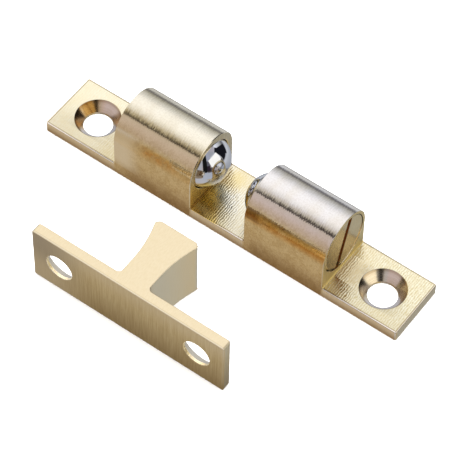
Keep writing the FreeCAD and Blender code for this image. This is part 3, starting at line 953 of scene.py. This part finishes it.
def studio():
    """Soft studio round the object: a pale room to the eye, with the lamps, flags and warm table
    that the polished metal mirrors.

    Most of the room is the same from left to right, so its colour is a ramp over the angle of the
    ray about the X axis: 0 is straight in front, 90 overhead, 180 behind and -90 under the table.
    What stands at the sides is laid over it as panels.
    """
    world = bpy.data.worlds.new("studio")
    bpy.context.scene.world = world
    world.use_nodes = True
    tree = world.node_tree
    tree.nodes.clear()
    ray = add(tree, "ShaderNodeTexCoord").outputs["Generated"]
    _, backward, upward = add(tree, "ShaderNodeSeparateXYZ", {0: ray}).outputs
    angle = math_of(tree, "ARCTAN2", upward, times(tree, backward, -1.0))
    share = add(tree, "ShaderNodeMapRange", {"Value": angle, 1: -math.pi, 2: math.pi}).outputs[0]
    node = add(tree, "ShaderNodeValToRGB", {0: share})
    stops = [
        (-180, 0.16, 0.16, 0.18), (-174, 0.32, 0.33, 0.36), (-168, 0.62, 0.64, 0.68),
        (-160, 0.64, 0.66, 0.70), (-148, 0.50, 0.52, 0.56), (-130, 0.38, 0.40, 0.44),
        (-112, 0.48, 0.47, 0.46), (-90, 0.54, 0.45, 0.33), (-60, 0.52, 0.43, 0.30),
        (-46, 0.52, 0.41, 0.26), (-35, 0.50, 0.40, 0.26), (-24, 0.47, 0.37, 0.23),
        (-12, 0.47, 0.37, 0.24), (-5, 0.48, 0.39, 0.27), (2, 0.53, 0.46, 0.37),
        (13, 0.53, 0.45, 0.41), (37, 0.60, 0.51, 0.49), (53.5, 0.57, 0.50, 0.46),
        (56, 0.05, 0.04, 0.04), (64, 0.04, 0.03, 0.03), (67.5, 0.36, 0.34, 0.32),
        (73, 0.60, 0.57, 0.56), (80, 0.80, 0.79, 0.82), (86, 0.91, 0.91, 0.93),
        (98, 1.06, 1.06, 1.10), (122, 1.08, 1.10, 1.16), (134, 0.98, 0.99, 1.05),
        (146, 0.76, 0.78, 0.83), (158, 0.56, 0.57, 0.58), (168, 0.39, 0.39, 0.38),
        (174, 0.22, 0.22, 0.22), (180, 0.16, 0.16, 0.18),
    ]
    band = node.color_ramp
    while len(band.elements) < len(stops):
        band.elements.new(0.5)
    for element, stop in zip(band.elements, stops):
        element.position = (stop[0] + 180) / 360
    for element, stop in zip(band.elements, stops):
        element.color = (*stop[1:], 1)
    room = node.outputs[0]
    # Rows stand for walls, lamps and flags, each over the ones before; the last is the key lamp.
    for place, half_wide, half_high, spin, edge, colour in (
        ((-75, 42), 20, 22, 0, 14, (0.74, 0.68, 0.56)),
        ((-76, 0), 20, 13, 0, 8, (0.28, 0.18, 0.09)),
        ((85, 60), 26, 13, 0, 10, (0.42, 0.43, 0.47)),
        ((62, 54), 12, 17, 0, 6, (0.42, 0.44, 0.52)),
        ((142, 59), 12, 12, 0, 6, (0.50, 0.47, 0.51)),
        ((20, -46), 24, 16, 0, 8, (0.56, 0.55, 0.57)),
        ((25, 23), 9, 21, 0, 6, (0.50, 0.50, 0.53)),
        ((56, -21), 17, 18, 0, 5, (0.50, 0.53, 0.60)),
        ((23, -14), 13, 14, 0, 3, (0.10, 0.05, 0.01)),
        ((88, 2), 34, 11, 0, 6, (0.12, 0.10, 0.09)),
        ((59, 28), 9, 12, 0, 5, (0.14, 0.14, 0.17)),
        ((57, 9), 9, 12, 0, 5, (0.03, 0.02, 0.03)),
        ((136, 21), 11, 26, 0, 3, (0.01, 0.01, 0.015)),
        ((150, 13), 12, 24, 31, 3, (0.01, 0.01, 0.015)),
        ((45, 30), 8.5, 36, 0, 3, (0.01, 0.01, 0.01)),
        ((95, 28), 24, 17, 0, 3, (1.25, 1.22, 1.15)),
    ):
        room = panel(tree, ray, room, place, half_wide, half_high, spin, edge, colour)
    seen = add(tree, "ShaderNodeLightPath").outputs["Is Camera Ray"]
    mirrored = add(tree, "ShaderNodeBackground", {"Color": room, "Strength": 1.0})
    pale = add(tree, "ShaderNodeBackground", {"Color": (0.96, 0.96, 0.96, 1), "Strength": 1.0})
    both = add(tree, "ShaderNodeMixShader", {0: seen, 1: mirrored.outputs[0], 2: pale.outputs[0]})
    add(tree, "ShaderNodeOutputWorld", {"Surface": both.outputs[0]})


def floor_and_lamp():
    """Pale matt floor under the pieces, out of sight of the mirrors, and one wide lamp above that
    lights only the floor, since bare metal shows lamps by reflection alone."""
    mesh = bpy.data.meshes.new("studio_floor")
    mesh.from_pydata([(-1, -1, 0), (1, -1, 0), (1, 1, 0), (-1, 1, 0)], [], [(0, 1, 2, 3)])
    floor = bpy.data.objects.new("studio_floor", mesh)
    floor.location.z = -0.02 * MM
    bpy.context.scene.collection.objects.link(floor)
    paper = bpy.data.materials.new("matt_paper")
    paper.use_nodes = True
    shader = paper.node_tree.nodes["Principled BSDF"]
    shader.inputs["Base Color"].default_value = linear("#F7F7F6")
    shader.inputs["Roughness"].default_value = 1.0
    shader.inputs["Specular IOR Level"].default_value = 0.0
    mesh.materials.append(paper)
    floor.visible_glossy = False
    data = bpy.data.lights.new("wide_lamp", "AREA")
    data.shape = "DISK"
    data.size = 1.2
    data.energy = 22.0
    lamp = bpy.data.objects.new("wide_lamp", data)
    lamp.location = (-0.1, 0.15, 0.8)
    lamp.rotation_euler = Vector(lamp.location).to_track_quat("Z", "Y").to_euler()
    lamp.visible_glossy = False
    bpy.context.scene.collection.objects.link(lamp)


def camera():
    """Camera where the photograph was taken from: far away and long, high at the front right."""
    azimuth, elevation, roll = 34.616, 54.756, math.radians(1.683)
    back = Vector(direction(azimuth, elevation))
    level = Vector((math.cos(math.radians(azimuth)), math.sin(math.radians(azimuth)), 0))
    upright = back.cross(level)
    right = level * math.cos(roll) + upright * math.sin(roll)
    up = back.cross(right)
    data = bpy.data.cameras.new("camera")
    data.lens = 207.875
    data.sensor_width = 36.0
    data.clip_start, data.clip_end = 0.01, 5.0
    view = bpy.data.objects.new("camera", data)
    place = Matrix((right, up, back)).transposed().to_4x4()
    place.translation = Vector((0.12575, -0.18247, 0.30725)) - right * 0.000055 + up * 0.00007
    view.matrix_world = place
    bpy.context.scene.collection.objects.link(view)
    bpy.context.scene.camera = view


bpy.context.scene.view_settings.view_transform = "Standard"
body_metal = body_brass()
strike_metal = strike_brass()
screw_metal = screw_brass()
ball_metal = ball_chrome()
spring_metal = spring_steel()
piece("milled_catch_body", catch_body_mesh(), body_metal, "root", "catch_body", "body_brass")
piece("extruded_strike", strike_mesh(), strike_metal, "root", "strike_plate", "strike_brass")
for side, name, lean in ((-1, "left", LEFT_LEAN), (1, "right", RIGHT_LEAN)):
    ball, seat, screw = name + "_ball_unit", name + "_spring_seat", name + "_screw_unit"
    lapped = (ball_mesh(side), ball_metal, ball, name + "_ball", "ball_chrome")
    piece(name + "_lapped_ball", *lapped, sharp=60.0)
    for front, part, body, joint, end, travel in (
        (True, "_spring_front_coils", ball, "_ball_slide", SPRING_FRONT, BALL_TRAVEL),
        (False, "_spring_back_coils", seat, "_screw_feed", SPRING_BACK, SCREW_TRAVEL),
    ):
        drawn = (spring_mesh(side, front), spring_metal, body, name + "_spring", "spring_steel")
        coils = piece(name + part, *drawn, sharp=50.0)
        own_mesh(coils)
    lathed = (screw_mesh(side, lean), screw_metal, screw, name + "_adjusting_screw", "screw_brass")
    piece(name + "_turned_screw", *lathed)
studio()
floor_and_lamp()
camera()
